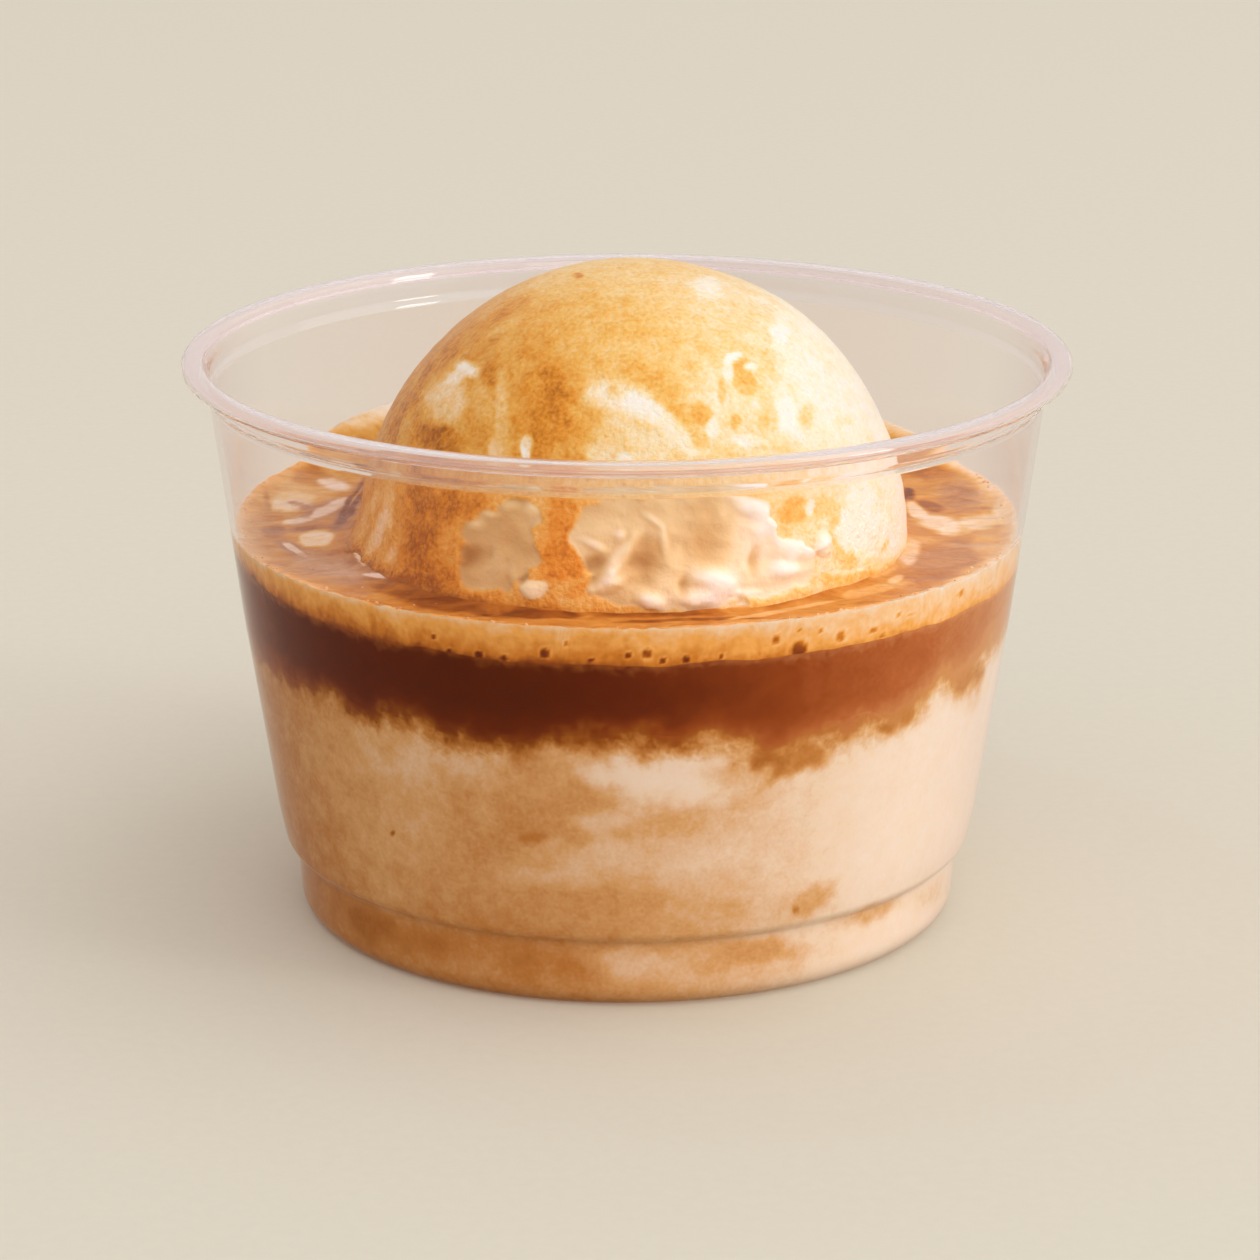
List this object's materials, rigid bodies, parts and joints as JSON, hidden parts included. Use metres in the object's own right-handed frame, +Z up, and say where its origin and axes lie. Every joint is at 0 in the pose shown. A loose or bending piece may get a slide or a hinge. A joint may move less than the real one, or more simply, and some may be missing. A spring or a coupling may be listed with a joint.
{
  "type": "affogato",
  "caption": "A round scoop of ice cream half sunk in layered espresso and milk, served in a clear dessert cup with a rolled rim and a stepped foot.",
  "frame": {"origin": "centre of the cup's foot, on the surface that it stands on", "axes": "+Z up out of the cup; -Y is the front, where the scoop sits nearest to the wall; +X is to the right seen from the front"},
  "size_m": [0.098, 0.098, 0.0747],
  "materials": {
    "clear_cup": "clear thermoformed plastic, glossy",
    "milk_layer": "milky coffee, opaque and smooth",
    "espresso_layer": "dark espresso, opaque",
    "crema": "fine coffee foam, wet and smooth",
    "ice_cream": "soft vanilla ice cream under a golden coffee coat"
  },
  "bodies": {
    "root": {"cup": "clear_cup", "milk_layer": "milk_layer", "espresso_layer": "espresso_layer", "crema": "crema", "ice_cream": "ice_cream"}
  },
  "joints": []
}
